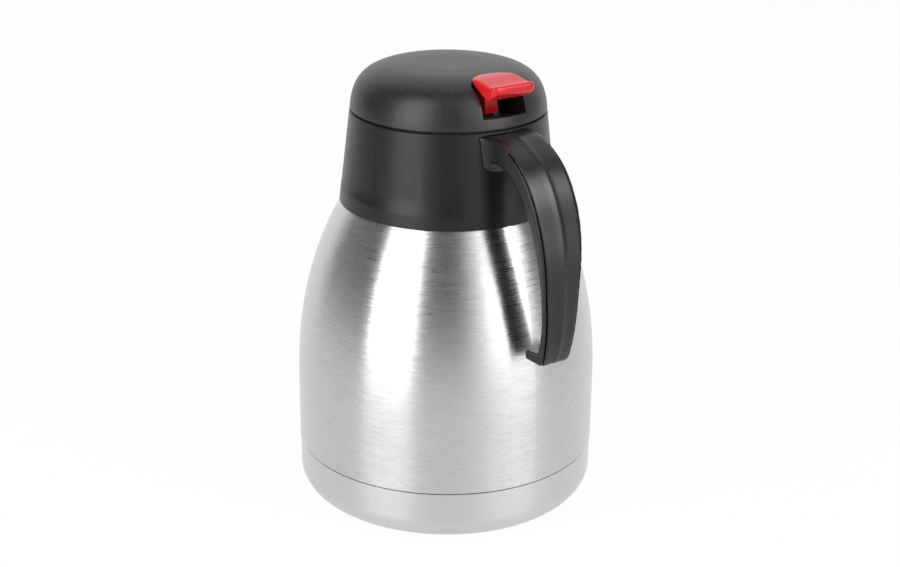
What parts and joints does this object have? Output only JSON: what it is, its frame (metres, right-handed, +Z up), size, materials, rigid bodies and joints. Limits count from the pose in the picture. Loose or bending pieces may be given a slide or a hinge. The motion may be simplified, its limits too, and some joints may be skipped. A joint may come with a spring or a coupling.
{
  "type": "vacuum carafe",
  "caption": "Round vacuum carafe in brushed steel with a black collar, an arched side handle and a screw-in pouring lid opened by a red thumb lever.",
  "frame": {"origin": "centre of the base's underside, on the carafe's axis, at table height", "axes": "+Z up along the axis, +X towards the handle, -X towards the pouring lip"},
  "size_m": [0.1625, 0.1448, 0.2131],
  "materials": {
    "brushed_steel": "brushed round the body",
    "satin_steel": "fine satin",
    "liner_steel": "plain drawn steel",
    "solder": "dull",
    "black_plastic": "fine moulded texture",
    "dome_plastic": "grained matte",
    "grey_plastic": "smooth moulded",
    "silicone": "soft matt",
    "foam": "closed-cell foam",
    "screw_steel": "bright",
    "red_plastic": "glossy"
  },
  "bodies": {
    "jug": {"outer_shell": "brushed_steel", "inner_flask": "liner_steel", "base_cup": "satin_steel", "vacuum_base": "liner_steel", "getter": "liner_steel", "seal_bead": "solder", "collar": "black_plastic", "rim_gasket": "silicone", "neck_ring": "grey_plastic", "handle_body": "black_plastic", "handle_cover": "black_plastic", "handle_screws": "screw_steel"},
    "lid_carrier": {"lid_gasket": "silicone"},
    "lid": {"lid_dome": "dome_plastic", "stopper_body": "grey_plastic", "stopper_base": "grey_plastic", "stopper_insulation": "foam", "lid_screws": "screw_steel", "stem_seal": "silicone", "gland_washer": "screw_steel", "lever_pin": "screw_steel", "valve_spring": "screw_steel"},
    "lever": {"lever": "red_plastic"},
    "valve": {"valve_stem": "screw_steel", "valve_seal": "silicone", "valve_plug": "grey_plastic", "stem_nut": "grey_plastic"}
  },
  "joints": [
    {"name": "lid_rise", "type": "slide", "parent": "jug", "child": "lid_carrier", "axis": [0, 0, 1], "range_m": [0, 0.054]},
    {"name": "lid_turn", "type": "hinge", "parent": "lid_carrier", "child": "lid", "pos_m": [0, 0, 0.1906], "axis": [0, 0, 1], "range_deg": [0, 720]},
    {"name": "lever_press", "type": "hinge", "parent": "lid", "child": "lever", "pos_m": [0.024, 0, 0.1985], "axis": [0, 1, 0], "range_deg": [0, 12], "stiffness_Nm_per_rad": 0.35, "springref_deg": -22.92},
    {"name": "valve_lift", "type": "slide", "parent": "lid", "child": "valve", "axis": [0, 0, 1], "range_m": [0, 0.0051], "deforming": ["valve_spring"]}
  ],
  "couplings": [
    {"joint": "lid_rise", "follows": "lid_turn", "m_per_rad": 0.0042972},
    {"joint": "valve_lift", "follows": "lever_press", "m_per_rad": 0.024}
  ]
}
